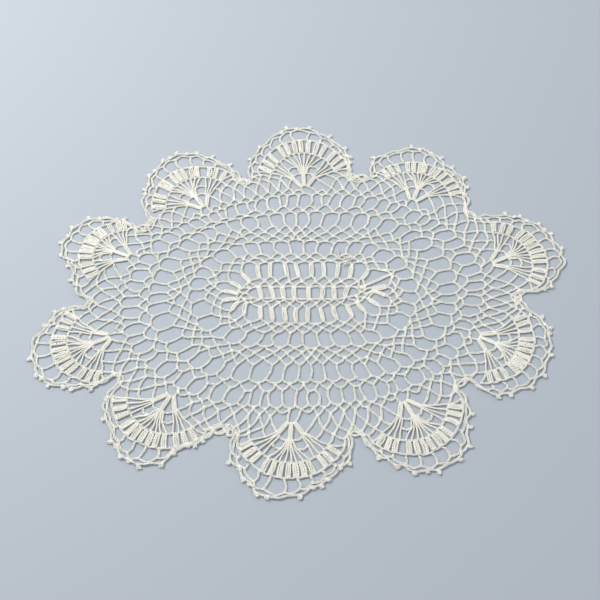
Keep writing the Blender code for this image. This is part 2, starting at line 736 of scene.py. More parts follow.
        turn = min(range(count), key=mismatch)
        tops = []
        for (node, _), (foot, top, posts) in zip(joined[turn:] + joined[:turn], ends):
            chart.places[node] = foot
            chart.holds[node] = FIRM
            head = chart.node(*top, FIRM)
            bow = chart.chance.gauss(0, 0.4)
            plump = 1.25 if posts > 2 else 1.1
            chart.line(
                self.name, Stitch.TALL, [node, head], strands=posts, bow=bow, pitch=1.2, plump=plump
            )
            tops.append((head, self.share_at(top)))
        self.hang(self.name, tops, 1.4)

    def loose_ends(self) -> None:
        """Lay the thin frayed ends that are tangled into the net on the far side."""
        for way in self.frayed:
            nodes = [self.chart.node(x, y, FIRM) for x, y in way]
            self.chart.line(self.name, Stitch.TALL, nodes, plump=0.5, lift=0.75, wobble=0.3)

    def work(self) -> None:
        """Chart every round of the centre."""
        self.row()
        self.first_round()
        self.growing_round(4, 9.4)
        self.block_round()
        self.arch_round(self.name, 34, 28.4)
        self.arch_round(self.name, 36, 32.0)
        self.loose_ends()


@dataclass
class Ground(Rounds):
    """The large net outside the centre, from the first ring of cells to the foot of the fans."""

    inner_name: str = "inner_net"
    outer_name: str = "outer_net"
    # Count, foot, top and phase of each ring of large cells.
    first_ring: tuple[float, ...] = (36, 36.2, 47.4, 0.0)
    middle_ring: tuple[float, ...] = (54, 63.0, 77.2, 0.0)
    last_ring: tuple[float, ...] = (84, 84.0, 96.4, 0.33)
    # Count and crest of the rounds of arches after the first ring.
    arch_rounds: tuple[tuple[int, float], ...] = ((42, 48.4), (48, 52.6), (54, 57.4))

    def work(self) -> None:
        """Chart the three rings of cells and the arches between them."""
        inner, outer = self.inner_name, self.outer_name
        self.ladder_round(inner, *self.first_ring)
        for count, crest in self.arch_rounds:
            self.arch_round(inner, count, crest)
        self.ladder_round(outer, *self.middle_ring)
        self.arch_round(outer, 54, 78.6)
        self.ladder_round(outer, *self.last_ring)
        self.arch_round(outer, LAST_ARCHES, 97.6)


@dataclass
class Border:
    """The fans, the valley nets between them and the double edge that joins them."""

    chart: Chart
    arches: list[Arch]
    crest: float = LAST_CREST
    stem: float = 12.6
    stem_swing: float = 45.0
    group_height: float = 21.0
    splay: float = 1.3
    # The outer stems' feet lie at this swing. The stitches on a stem's head are spread this wide.
    stem_foot_swing: float = 104.0
    spoke_spread: float = 3.4
    # Which stem each group of stitches spreads from, its first and last swing, and its count.
    spoke_groups: tuple[tuple[int, ...], ...] = ((-1, -60, -34, 4), (0, -27, 27, 8), (1, 34, 60, 4))
    block_swings: tuple[float, ...] = (-57, -47.5, -38, -24, -16, -8, 0, 8, 16, 24, 38, 47.5, 57)
    legs: int = 12
    leg_swing: float = 66.0
    inner_edge: float = 4.0
    foot_spread: float = 2.5
    notch: float = 4.0
    double_gap: float = 2.2
    # A leg shorter than this is left out. The others lean this far back to their arch's crest.
    least_leg: float = 1.5
    leg_lead: float = 6.0
    outer_crest: float = 1.0
    outer_dip: float = 2.6
    outer_arches: int = 10
    # Picots stand this far from the axis at most, and on this share of the dips and the crests.
    picot_swing: float = 66.0
    dip_picots: float = 0.4
    crest_picots: float = 0.85
    roots: list[int] = field(default_factory=list)
    crests: list[int] = field(default_factory=list)
    sides: dict[tuple[str, int], list[int]] = field(default_factory=dict)
    feet: dict[tuple[str, int, str], int] = field(default_factory=dict)

    def piece(self, plan: FanPlan) -> str:
        """Name of the piece that a fan and the valley after it make."""
        return f"fan_{plan.name}"

    def set_crests(self) -> None:
        """Give each arch of the last round its crest, and pin the ones that carry fans."""
        chart = self.chart
        middles = [(arch.first + arch.last) / 2 % 1.0 for arch in self.arches]
        for arch in self.arches:
            node = chart.split(arch, 1)[0]
            spot = chart.on_ray((arch.first + arch.last) / 2, self.crest)
            chart.places[node] = chart.places[spot]
            chart.holds[node] = 0.5
            self.crests.append(node)
        for plan in FANS:
            share = root_share(chart.oval, plan)
            index = min(range(len(middles)), key=lambda i: abs((middles[i] - share + 0.5) % 1.0 - 0.5))
            node = self.crests[index]
            chart.places[node] = (plan.root_x, plan.root_y)
            chart.holds[node] = FIRM
            self.roots.append(index)

    def pin(self, plan: FanPlan, distance: float, swing: float) -> int:
        """Add a junction that is fixed at a distance from a fan's root and a swing from its axis."""
        return self.chart.node(*plan.polar(distance, swing), FIRM)

    def fan(self, plan: FanPlan, root: int, arch: Arch) -> None:
        """Chart one fan: three stems, stitches that spread from them, blocks, legs and edge.

        Args:
            plan: the fan.
            root: the junction that it stands on.
            arch: the arch that the junction is in.
        """
        chart, piece, chance = self.chart, self.piece(plan), self.chart.chance
        lean = plan.lean
        heads, feet = {}, {}
        for side in (-1, 0, 1):
            swing = side * self.stem_swing + lean * (1 if side == 0 else 0.5)
            heads[side] = self.pin(plan, self.stem + (0.6 if side == 0 else 0), swing)
            feet[side] = self.pin(plan, self.foot_spread, side * self.stem_foot_swing) if side else root
            chart.line(piece, Stitch.TALL, [feet[side], heads[side]], strands=3, pitch=1.1, plump=1.3)
        place = arch.nodes.index(root)
        arch.nodes[place : place + 1] = [feet[-1], root, feet[1]]
        chart.line(piece, Stitch.CHAIN, [heads[-1], heads[0]], bow=2.2)
        chart.line(piece, Stitch.CHAIN, [heads[0], heads[1]], bow=2.2)
        lower = []
        ends: dict[int, list[int]] = {}
        for side, first, last, count in self.spoke_groups:
            for step in range(count):
                part = step / (count - 1)
                swing = first + (last - first) * part + lean
                shift = (part - 0.5) * self.spoke_spread
                foot_swing = side * self.stem_swing + lean * (1 if side == 0 else 0.5)
                foot_swing += math.degrees(shift / self.stem)
                foot = self.pin(plan, self.stem + 0.4 - 0.5 * abs(part - 0.5), foot_swing)
                height = plan.blocks(swing) - 0.9 + chance.gauss(0, 0.15)
                middle_part = (self.group_height - self.stem) / (height - self.stem)
                middle_swing = foot_swing + (swing - foot_swing) * middle_part**self.splay
                middle = self.pin(plan, self.group_height, middle_swing)
                top = self.pin(plan, height, swing + chance.gauss(0, 0.5))
                chart.line(piece, Stitch.TALL, [foot, middle, top], plump=1.25, wobble=0.3)
                lower.append(top)
                if step in (0, count - 1):
                    ends.setdefault(side, []).append(middle)
                if (side, step) in ((-1, 0), (1, count - 1)):
                    self.sides[plan.name, side] = [heads[side], middle, top]
        chart.line(piece, Stitch.CHAIN, [ends[-1][-1], ends[0][0]], bow=1.7)
        chart.line(piece, Stitch.CHAIN, [ends[0][-1], ends[1][0]], bow=1.7)
        for a, b in zip(lower, lower[1:]):
            chart.line(piece, Stitch.CHAIN, [a, b], bow=0.2)
        upper = []
        for block_swing in self.block_swings:
            swing = block_swing + lean
            foot_at = plan.blocks(swing)
            turn = swing + chance.gauss(0, 0.5)
            foot = self.pin(plan, foot_at - 0.3, turn)
            size = plan.block * (1 - 0.08 * (abs(swing) > 30)) + chance.gauss(0, 0.35)
            top = self.pin(plan, foot_at + size, turn + chance.gauss(0, 0.4))
            bow = chance.gauss(0, 0.3)
            chart.line(piece, Stitch.TALL, [foot, top], strands=3, bow=bow, pitch=1.42, plump=1.4)
            upper.append(top)
        corner = plan.blocks(self.leg_swing) + plan.block * 0.86
        first, last = (
            self.pin(plan, min(corner, plan.edge(swing) - self.inner_edge), swing + inward)
            for swing, inward in ((-self.leg_swing, 1), (self.leg_swing, -1))
        )
        self.sides[plan.name, -1].append(first)
        self.sides[plan.name, 1].append(last)
        chart.line(piece, Stitch.CHAIN, [self.sides[plan.name, -1][2], first], bow=-0.8)
        chart.line(piece, Stitch.CHAIN, [self.sides[plan.name, 1][2], last], bow=0.8)
        tops = [first] + upper + [last]
        for a, b in zip(tops, tops[1:]):
            chart.line(piece, Stitch.CHAIN, [a, b], bow=0.5, lift=0.25)
        self.leg_round(plan, piece, first, last)

    def leg_round(self, plan: FanPlan, piece: str, first: int, last: int) -> None:
        """Chart a fan's outer legs and the inner one of its double edge.

        Args:
            plan: the fan.
            piece: the piece that it belongs to.
            first: the junction at the clockwise end of its blocks.
            last: the junction at the other end.
        """
        chart, chance = self.chart, self.chart.chance
        start = self.pin(plan, plan.edge(-FAN_HALF_SPREAD) - self.inner_edge, -FAN_HALF_SPREAD + 1)
        end = self.pin(plan, plan.edge(FAN_HALF_SPREAD) - self.inner_edge, FAN_HALF_SPREAD - 1)
        lean_to = start
        for step in range(self.legs):
            swing = -self.leg_swing + 2 * self.leg_swing * step / (self.legs - 1)
            base = plan.blocks(swing) + plan.block + 0.9
            if step == 0:
                foot = first
            elif step == self.legs - 1:
                foot = last
            else:
                foot = self.pin(plan, base, swing)
            turn = swing + chance.gauss(0, 0.9)
            lie = plan.edge(swing) - self.inner_edge + chance.gauss(0, 0.45)
            ahead = turn - self.leg_lead
            crest = self.pin(plan, plan.edge(ahead) - self.inner_edge + 0.5, ahead)
            if lie - base < self.least_leg:
                knee = self.pin(plan, plan.edge(turn) - self.inner_edge + 0.3, turn)
                chart.line(piece, Stitch.CHAIN, [knee, crest, lean_to], bow=-0.2)
            else:
                rise = self.pin(plan, base + (lie - base) * 0.5, turn + 1.0)
                knee = self.pin(plan, lie - min(1.7, 0.4 * (lie - base)), turn - 0.4)
                chart.line(piece, Stitch.CHAIN, [foot, rise, knee, crest, lean_to], bow=-0.35)
            lean_to = knee
        chart.line(piece, Stitch.CHAIN, [lean_to, end], bow=0.6)
        self.feet[plan.name, -1, "inner"] = start
        self.feet[plan.name, 1, "inner"] = end
        self.outer_round(plan, piece)

    def outer_round(self, plan: FanPlan, piece: str) -> None:
        """Chart a fan's outermost round: shallow arches with picots, dipping to the arches inside.

        Args:
            plan: the fan.
            piece: the piece that it belongs to.
        """
        chart, chance = self.chart, self.chart.chance
        outer = []
        width = 2 * FAN_HALF_SPREAD / self.outer_arches
        for arch in range(self.outer_arches + 1):
            swing = -FAN_HALF_SPREAD + width * arch
            inside = 0 < arch < self.outer_arches
            swing += chance.gauss(0, 0.1) * width if inside else 0.0
            dip = plan.edge(swing) - self.outer_dip + chance.gauss(0, 0.3)
            node = self.pin(plan, dip, swing)
            outer.append(node)
            if inside and chance.random() < self.dip_picots:
                self.picot(plan, piece, node, dip, swing, chance.uniform(1.6, 2.6))
            if arch == self.outer_arches:
                break
            lump = chance.uniform(-0.5, 0.7)
            for part in (0.25, 0.5, 0.75):
                at = swing + width * part
                reach = plan.edge(at) - self.outer_crest - 0.6 * (part != 0.5)
                reach += lump * math.sin(math.pi * part)
                node = self.pin(plan, reach + chance.gauss(0, 0.15), at + chance.gauss(0, 0.3))
                outer.append(node)
                if part == 0.5 and abs(at) < self.picot_swing and chance.random() < self.crest_picots:
                    self.picot(plan, piece, node, reach, at, chance.uniform(1.9, 3.1))
        chart.line(piece, Stitch.CHAIN, outer, lift=0.45, wobble=0.12)
        self.feet[plan.name, -1, "outer"] = outer[0]
        self.feet[plan.name, 1, "outer"] = outer[-1]

    def picot(
        self, plan: FanPlan, piece: str, node: int, reach: float, swing: float, size: float
    ) -> None:
        """Chart one picot, a small loop of chain that stands on the edge.

        Args:
            plan: the fan.
            piece: the piece that it belongs to.
            node: the junction that it stands on.
            reach: the edge's distance from the fan's root.
            swing: the picot's swing from the fan's axis, in degrees.
            size: how far it stands out, in millimetres.
        """
        chart, chance = self.chart, self.chart.chance
        tilt = chance.gauss(0, 1.1)
        half = math.degrees(0.85 / reach)
        skew = math.degrees(tilt / reach)
        loop = [self.pin(plan, reach + size * 0.55, swing - half + skew * 0.5)]
        loop.append(self.pin(plan, reach + size, swing + skew))
        loop.append(self.pin(plan, reach + size * 0.5, swing + half + skew * 0.5))
        chart.line(piece, Stitch.CHAIN, [node] + loop + [node], lift=0.3)

    def valley(self, plan: FanPlan, after: FanPlan, first: int, last: int) -> None:
        """Chart the net between two fans and the edge that crosses it.

        Args:
            plan: the fan before the valley.
            after: the fan behind it.
            first: index of the crest that the first fan stands on.
            last: index of the crest that the other fan stands on.
        """
        chart, piece = self.chart, self.piece(plan)
        count = len(self.crests)
        stop = last if last > first else last + count
        between = [self.crests[i % count] for i in range(first + 1, stop)]
        base = [chart.places[self.crests[first]]]
        base += [chart.places[node] for node in between]
        base.append(chart.places[self.crests[last % count]])
        left = self.sides[plan.name, 1] + [self.feet[plan.name, 1, "inner"]]
        right = self.sides[after.name, -1] + [self.feet[after.name, -1, "inner"]]
        patch = Patch(
            base,
            [base[0]] + [chart.places[node] for node in left],
            [base[-1]] + [chart.places[node] for node in right],
        )
        joints = between[1:-1] if len(between) > 6 else between
        row = 0
        while row < len(left) - 1 and len(joints) > 2:
            path = [left[row]] + joints + [right[row]]
            row += 1
            crests = len(path) - 3
            height = (row + 0.35) / (len(left) + 0.35)
            fresh = []
            for step, (a, b) in enumerate(zip(path, path[1:])):
                arch = [a, b]
                if 0 < step < len(path) - 2:
                    spot = patch.at(step / (crests + 1), height)
                    node = chart.node(
                        spot[0] + chart.chance.gauss(0, 0.6), spot[1] + chart.chance.gauss(0, 0.6), 0.5
                    )
                    arch.insert(1, node)
                    fresh.append(node)
                chart.line(piece, Stitch.CHAIN, arch, bow=0.8, wobble=0.28)
            joints = fresh
        start, end = left[-1], right[-1]
        shares = (0.2, 0.5, 0.8)
        inner = [self.crossing(start, end, share, self.notch + self.double_gap) for share in shares]
        rim = [chart.places[node] for node in (left[-2], start)] + inner
        rim += [chart.places[node] for node in (end, right[-2])]
        for step, node in enumerate(joints):
            chart.places[node] = self.along_rim(rim, (step + 1) / (len(joints) + 1))
            chart.holds[node] = FIRM
        chart.line(piece, Stitch.CHAIN, [start] + [chart.node(*spot, FIRM) for spot in inner] + [end])
        outer_start, outer_end = self.feet[plan.name, 1, "outer"], self.feet[after.name, -1, "outer"]
        outer = [self.crossing(outer_start, outer_end, share, self.notch) for share in shares]
        middles = [chart.node(*spot, FIRM) for spot in outer]
        chart.line(piece, Stitch.CHAIN, [outer_start] + middles + [outer_end], lift=0.45, wobble=0.1)

    @staticmethod
    def along_rim(rim: list[Point], share: float) -> Point:
        """Find a point on a row of points.

        Args:
            rim: the points.
            share: share of the row's length.

        Returns:
            The point.
        """
        rest = share * sum(math.dist(a, b) for a, b in zip(rim, rim[1:]))
        for a, b in zip(rim, rim[1:]):
            size = max(math.dist(a, b), 1e-6)
            if rest <= size:
                return a[0] + (b[0] - a[0]) * rest / size, a[1] + (b[1] - a[1]) * rest / size
            rest -= size
        return rim[-1]

    def crossing(self, start: int, end: int, share: float, depth: float) -> Point:
        """Find a point of a curve from one fan's foot to the next that dips towards the middle.

        Args:
            start: the first foot.
            end: the other foot.
            share: share of the way across.
            depth: how far the curve dips, in millimetres.

        Returns:
            The point.
        """
        (ax, ay), (bx, by) = self.chart.places[start], self.chart.places[end]
        x, y = ax + (bx - ax) * share, ay + (by - ay) * share
        inward = depth * 4 * share * (1 - share) / math.hypot(x, y)
        return x * (1 - inward), y * (1 - inward)

    def work(self) -> None:
        """Chart every fan, then the valleys between them."""
        self.set_crests()
        for plan, index in zip(FANS, self.roots):
            self.fan(plan, self.crests[index], self.arches[index])
        for step, plan in enumerate(FANS):
            follow = (step + 1) % len(FANS)
            self.valley(plan, FANS[follow], self.roots[step], self.roots[follow])


@dataclass(frozen=True)
class Patch:
    """The four-sided field of a valley: its base row and the sides of the two fans."""

    base: list[Point]
    left: list[Point]
    right: list[Point]

    @staticmethod
    def along(points: list[Point], share: float) -> np.ndarray:
        """Find a point on a row of points that count as evenly spaced.

        Args:
            points: the row.
            share: share of the way along it.

        Returns:
            The point.
        """
        place = max(0.0, min(0.99999, share)) * (len(points) - 1)
        step = int(place)
        start, end = np.array(points[step]), np.array(points[step + 1])
        return start + (end - start) * (place - step)

    def at(self, across: float, up: float) -> Point:
        """Find a point of the field.

        Args:
            across: share of the way across the valley.
            up: share of the way up it.

        Returns:
            The point.
        """
        low, high_left, high_right = self.along(self.base, across), self.left[-1], self.right[-1]
        top = np.array(high_left) * (1 - across) + np.array(high_right) * across
        sides = self.along(self.left, up) * (1 - across) + self.along(self.right, up) * across
        foot = np.array(self.base[0]) * (1 - across) + np.array(self.base[-1]) * across
        corners = foot * (1 - up) + top * up
        spot = low * (1 - up) + top * up + sides - corners
        return float(spot[0]), float(spot[1])


def root_share(oval: Oval, plan: FanPlan) -> float:
    """Share of a fan's root round the oval, carried to the net's reach."""
    share, distance = oval.locate(plan.root_x, plan.root_y)
    return oval.carry(share, distance, NET_REACH)


def stray(oval: Oval, count: int, crest: float) -> list[tuple[float, float, float]]:
    """Work out how far the outer rounds stray so that a crest lies at each fan's root.

    Args:
        oval: the oval that the rounds follow.
        count: how many crests the last round has.
        crest: how far out they lie.

    Returns:
        Rows of share, change of share and change of distance, round the whole oval.
    """
    rows = []
    for plan in FANS:
        share, distance = oval.locate(plan.root_x, plan.root_y)
        share = oval.carry(share, distance, crest)
        nearest = round(share * count) / count
        nominal = oval.carry(nearest, crest, NET_REACH)
        outward = min(distance - ROOT_REACH, MOST_OUTWARD)
        rows.append((nominal, root_share(oval, plan) - nominal, outward))
    rows.sort()
    before = (rows[-1][0] - 1, rows[-1][1], rows[-1][2])
    behind = (rows[0][0] + 1, rows[0][1], rows[0][2])
    return [before] + rows + [behind]


def draw_chart() -> Chart:
    """Chart the whole doily and ease it.

    Returns:
        The finished chart.
    """
    chart = Chart()
    chart.drift = stray(chart.oval, LAST_ARCHES, LAST_CREST)
    centre = CentreRounds(chart)
    centre.work()
    ground = Ground(chart, centre.arches)
    ground.work()
    border = Border(chart, ground.arches)
    border.work()
    chart.ease(EASE_STEPS)
    return chart


def bend(start: np.ndarray, end: np.ndarray, bow: float) -> np.ndarray:
    """Find the middle of a stretch of thread that bows to the right of its way.

    Args:
        start: where the stretch starts.
        end: where it ends.
        bow: how far it bows, in millimetres.

    Returns:
        The middle point.
    """
    chord = end - start
    right = np.array([chord[1], -chord[0]]) / max(float(np.linalg.norm(chord)), 1e-6)
    return (start + end) / 2 + right * bow


def smooth_path(
    points: list[np.ndarray], line: Line, chance: random.Random, step: float = 0.45
) -> np.ndarray:
    """Draw a smooth line through some points.

    Args:
        points: the junctions, in order.
        line: the line, which says how far each stretch bows and wobbles.
        chance: the source of the wobble.
        step: spacing of the samples, in millimetres.

    Returns:
        Evenly spaced points along the line, with its ends kept.
    """
    bent = [points[0]]
    for start, end in zip(points, points[1:]):
        size = float(np.linalg.norm(end - start))
        short = 1.0 if len(points) == 2 else min(1.0, size / 6)
        bow = line.bow * short
        if line.wobble:
            bow += chance.gauss(0, line.wobble) * short
        if abs(bow) > 0.02:
            bent.append(bend(start, end, bow))
        bent.append(end)
    points = bent if len(bent) > 2 else [points[0], (points[0] + points[1]) / 2, points[1]]
    knots = [2 * points[0] - points[1]] + list(points) + [2 * points[-1] - points[-2]]
    samples = []
    for p0, p1, p2, p3 in zip(knots, knots[1:], knots[2:], knots[3:]):
        count = max(2, int(np.linalg.norm(p2 - p1) / 0.3))
        t = np.linspace(0, 1, count, endpoint=False)[:, None]
        samples.append(
            0.5
            * (
                2 * p1
                + (p2 - p0) * t
                + (2 * p0 - 5 * p1 + 4 * p2 - p3) * t**2
                + (3 * p1 - p0 - 3 * p2 + p3) * t**3
            )
        )
    samples.append(points[-1][None, :])
    path = np.concatenate(samples)
    run = np.concatenate([[0.0], np.cumsum(np.linalg.norm(np.diff(path, axis=0), axis=1))])
    count = max(2, int(round(run[-1] / step)) + 1)
    even = np.linspace(0, run[-1], count)
    return np.stack([np.interp(even, run, path[:, 0]), np.interp(even, run, path[:, 1])], axis=1)


def point_at(path: np.ndarray, share: float) -> np.ndarray:
    """The point at a share of a path of evenly spaced points."""
    return np.array([np.interp(share, np.linspace(0, 1, len(path)), path[:, i]) for i in (0, 1)])


def path_length(path: np.ndarray) -> float:
    """Length of a path of points."""
    return float(np.linalg.norm(np.diff(path, axis=0), axis=1).sum())


def as_mesh(bm: bmesh.types.BMesh, name: str) -> bpy.types.Mesh:
    """Turn a bmesh into a mesh, and free it.

    Args:
        bm: the bmesh.
        name: of the mesh.

    Returns:
        The mesh.
    """
    mesh = bpy.data.meshes.new(name)
    bm.to_mesh(mesh)
    bm.free()
    return mesh


def in_scene(name: str, data: bpy.types.ID) -> bpy.types.Object:
    """Make an object of some data and put it into the scene.

    Args:
        name: of the object.
        data: its mesh, light or camera.

    Returns:
        The object.
    """
    made = bpy.data.objects.new(name, data)
    bpy.context.scene.collection.objects.link(made)
    return made


def new_material(name: str) -> bpy.types.Material:
    """Make a material with an empty tree of nodes.

    Args:
        name: of the material.

    Returns:
        The material.
    """
    material = bpy.data.materials.new(name)
    material.use_nodes = True
    material.node_tree.nodes.clear()
    return material


def add_node(
    tree: bpy.types.NodeTree, kind: str, settings: dict | None = None, **links: object
) -> bpy.types.Node:
    """Add a node to a tree, set it up and link it.

    Args:
        tree: the tree that it goes into.
        kind: Blender's name for the node's type.
        settings: the node's own properties.
        links: an input's name, with _ for a space, or in_ and its number, and the output socket
            or plain value that goes into it.

    Returns:
        The new node.
    """
    node = tree.nodes.new(kind)
    for name, value in (settings or {}).items():
        setattr(node, name, value)
    for name, value in links.items():
        key = int(name[3:]) if name.startswith("in_") else name.replace("_", " ")
        socket = node.inputs[key]
        if isinstance(value, bpy.types.NodeSocket):
            tree.links.new(value, socket)
        else:
            socket.default_value = value
    return node


def linear(code: str) -> tuple[float, float, float, float]:
    """Turn an sRGB hex colour into the linear colour that a socket takes.

    Args:
        code: six hex digits, such as E9E3D2.

    Returns:
        Red, green, blue and alpha.
    """
    parts = [int(code[i : i + 2], 16) / 255 for i in (0, 2, 4)]
    low, scale = 0.04045, 12.92
    red, green, blue = (c / scale if c <= low else ((c + 0.055) / 1.055) ** 2.4 for c in parts)
    return red, green, blue, 1.0


@dataclass(frozen=True)
class CrochetCotton:
    """Undyed mercerised cotton crochet thread, twisted from six plies.

    Mercerising leaves a soft gloss on the crown of each ply, the fuzz between them scatters light
    back at the edge, and undyed cotton is an ivory white with a random tone. The tall stitches and
    knots are painted deeper, as painted shade where the thread lies dense.
    """

    pale: str = "F5F4EC"
    deep: str = "E3E0D3"
    roughness: float = 0.78
    ior: float = 1.53
    sheen: float = 0.25
    sheen_roughness: float = 0.5
    bump: float = 0.55
    # The plies show about every 0.5 mm along the thread. UV runs in millimetres.
    plies_per_mm: float = 2.0

    def make(self) -> bpy.types.Material:
        """Build the thread's material.

        Returns:
            The material.
        """
        material = new_material("undyed_cotton_crochet_thread")
        tree = material.node_tree
        # The per-stitch colour depth is a random tone, plus painted shade that makes the tall stitches
        # and knots deeper where the thread lies dense.
        tone_and_shade = add_node(tree, "ShaderNodeAttribute", {"attribute_name": "tone_and_shade"})
        place = add_node(tree, "ShaderNodeTexCoord")
        stain = add_node(
            tree, "ShaderNodeTexNoise", {},
            Vector=place.outputs["Object"], Scale=14.0, Detail=2.0, Roughness=0.5,
        )
        mix_in = add_node(
            tree, "ShaderNodeMath", {"operation": "MULTIPLY_ADD"},
            in_0=stain.outputs["Fac"], in_1=0.75, in_2=-0.2,
        )
        blend = add_node(tree, "ShaderNodeMath", {"operation": "ADD", "use_clamp": True},
                         in_0=mix_in.outputs[0], in_1=tone_and_shade.outputs["Fac"])
        ramp = add_node(tree, "ShaderNodeValToRGB", {}, in_0=blend.outputs[0])
        ramp.color_ramp.elements[0].color = linear(self.pale)
        ramp.color_ramp.elements[1].color = linear(self.deep)
        thread = add_node(tree, "ShaderNodeUVMap", {"uv_map": "thread"})
        plies = add_node(
            tree, "ShaderNodeTexWave", {"wave_type": "BANDS", "bands_direction": "DIAGONAL"},
            Vector=thread.outputs["UV"], Scale=self.plies_per_mm * math.pi / 10,
            Distortion=0.6, Detail=1.0,
        )
        relief = add_node(tree, "ShaderNodeBump", {}, Strength=self.bump, Distance=0.00012,
                          Height=plies.outputs["Fac"])
        shader = add_node(
            tree, "ShaderNodeBsdfPrincipled", {},
            Base_Color=ramp.outputs["Color"], Roughness=self.roughness, IOR=self.ior,
            Sheen_Weight=self.sheen, Sheen_Roughness=self.sheen_roughness,
            Normal=relief.outputs["Normal"],
        )
        add_node(tree, "ShaderNodeOutputMaterial", {}, Surface=shader.outputs["BSDF"])
        return material


@dataclass(frozen=True)
class MattePaper:
    """A roll of matte background paper: even and pale, with a faint tooth and no gloss."""

    colour: str = "A4ABB3"
    roughness: float = 0.95

    def make(self) -> bpy.types.Material:
        """Build the floor's material.

        Returns:
            The material.
        """
        material = new_material("matte_background_paper")
        tree = material.node_tree
        place = add_node(tree, "ShaderNodeTexCoord")
        tooth = add_node(
            tree, "ShaderNodeTexNoise", {}, Vector=place.outputs["Object"], Scale=900.0, Detail=2.0
        )
        relief = add_node(
            tree, "ShaderNodeBump", {}, Strength=0.15, Distance=0.0001, Height=tooth.outputs["Fac"]
        )
        shader = add_node(
            tree, "ShaderNodeBsdfPrincipled", {},
            Base_Color=linear(self.colour), Roughness=self.roughness, Normal=relief.outputs["Normal"],
        )
        shader.inputs["Specular IOR Level"].default_value = 0.15
        add_node(tree, "ShaderNodeOutputMaterial", {}, Surface=shader.outputs["BSDF"])
        return material


@dataclass
class StitchMeshes:
    """The three small shapes that all the lace is made of, in millimetres."""

    thread: float = 0.33
    loop_length: float = 3.05
    loop_width: float = 0.94
    loop_rings: int = 8
    strand: float = 0.34
    strand_orbit: float = 0.33
    post_length: float = 2.0
    knot_radius: float = 0.55

    @staticmethod
    def frame(spot: Vector, way: Vector, up: Vector) -> Matrix:
        """Set up axes at a spot, with Z along a way.

        Args:
            spot: in millimetres.
            way: the direction that Z takes.
            up: a direction that the way does not take.

        Returns:
            The matrix, in metres.
        """
        forward = way.normalized()
        side = forward.cross(up).normalized()
        top = side.cross(forward)
        turn = Matrix((side, top, forward)).transposed().to_4x4()
        return Matrix.Translation(spot * MM) @ turn

    def tube(self, bm: bmesh.types.BMesh, path: list[Vector], radius: float, sides: int, closed: bool,
             up: Vector) -> None:
        """Bridge circles along a path into a strand with its own UV.

        Args:
            bm: where it is built.
            path: the middle of the strand, in millimetres.
            radius: of the strand, in millimetres.
            sides: of its section.
            closed: whether the path runs back into its start.
            up: a direction that no stretch of the path runs along.
        """
        layer = bm.loops.layers.uv.verify()
        count = len(path)
        rings, place = [], {}
        run = 0.0
        for i, spot in enumerate(path):
            before = path[i - 1] if i or closed else path[0]
            after = path[(i + 1) % count] if i < count - 1 or closed else path[-1]
            matrix = self.frame(spot, after - before, up)
            made = bmesh.ops.create_circle(bm, segments=sides, radius=radius * MM, matrix=matrix)
            ring = made["verts"]
            for step, vert in enumerate(ring):
                place[vert] = (run, step)
            rings.append(ring)
            run += (path[(i + 1) % count] - spot).length
        pairs = list(zip(rings, rings[1:])) + ([(rings[-1], rings[0])] if closed else [])
        for near, far in pairs:
            both = set(near) | set(far)
            edges = {e for v in near + far for e in v.link_edges if e.other_vert(v) in both}
            edges = [e for e in edges if (e.verts[0] in near) == (e.verts[1] in near)]
            for face in bmesh.ops.bridge_loops(bm, edges=edges)["faces"]:
                steps = [place[loop.vert][1] for loop in face.loops]
                wraps = 0 in steps and sides - 1 in steps
                for loop in face.loops:
                    along, step = place[loop.vert]
                    if closed and near is rings[-1] and loop.vert in far:
                        along = run
                    around = (sides if wraps and step == 0 else step) / sides * 2 * math.pi * radius
                    loop[layer].uv = (along, around)
        if not closed:
            edges = [e for e in bm.edges if e.is_boundary]
            bmesh.ops.holes_fill(bm, edges=edges, sides=sides)

    def finish(self, bm: bmesh.types.BMesh, name: str) -> bpy.types.Object:
        """Turn a bmesh into a smooth-shaded object that isn't itself in the scene.

        Args:
            bm: the bmesh, which is freed.
            name: of the object.

        Returns:
            The object.
        """
        bmesh.ops.recalc_face_normals(bm, faces=bm.faces)
        mesh = as_mesh(bm, name)
        mesh.uv_layers[0].name = "thread"
        mesh.shade_smooth()
        return bpy.data.objects.new(name, mesh)

    def chain(self) -> bpy.types.Object:
        """Build one chain stitch: a drop-shaped loop, narrow and low behind, wide and high in front.

        Returns:
            The stitch.
        """
        bm = bmesh.new()
        path = []
        for step in range(self.loop_rings):
            turn = 2 * math.pi * (step + 0.5) / self.loop_rings
            along = math.cos(turn)
            path.append(
                Vector(
                    (
                        self.loop_length / 2 * along,
                        self.loop_width / 2 * math.sin(turn) * (1.08 + 0.3 * along),
                        0.1 + 0.27 * along,
                    )
                )
            )
        self.tube(bm, path, self.thread, 4, True, Vector((0, 0, 1)))
        return self.finish(bm, "chain_stitch")

    def post(self) -> bpy.types.Object:
        """Build a short length of tall stitch: two strands, half a turn round each other.

        Returns:
            The length of stitch.
        """
        bm = bmesh.new()
        spans = 3
        for start in (0.0, math.pi):
            path = []
            for step in range(spans + 1):
                part = step / spans
                turn = start + math.pi * part
                path.append(
                    Vector(
                        (
                            self.post_length * (part - 0.5) * 1.04,
                            self.strand_orbit * math.cos(turn),
                            self.strand_orbit * 0.85 * math.sin(turn),
                        )
                    )
                )
            self.tube(bm, path, self.strand, 4, False, Vector((0, 0.35, 1)))
        return self.finish(bm, "post_length")

    def knot(self) -> bpy.types.Object:
        """Build the wrap of thread where one arch is worked round another.

        Returns:
            The wrap.
        """
        bm = bmesh.new()
        path = []
        for step in range(6):
            turn = 2 * math.pi * step / 6
            across, up = self.knot_radius * math.cos(turn), self.knot_radius * math.sin(turn)
            path.append(Vector((0.12 * math.sin(turn), across, up)))
        self.tube(bm, path, 0.27, 3, True, Vector((1, 0, 0)))
        return self.finish(bm, "join_knot")


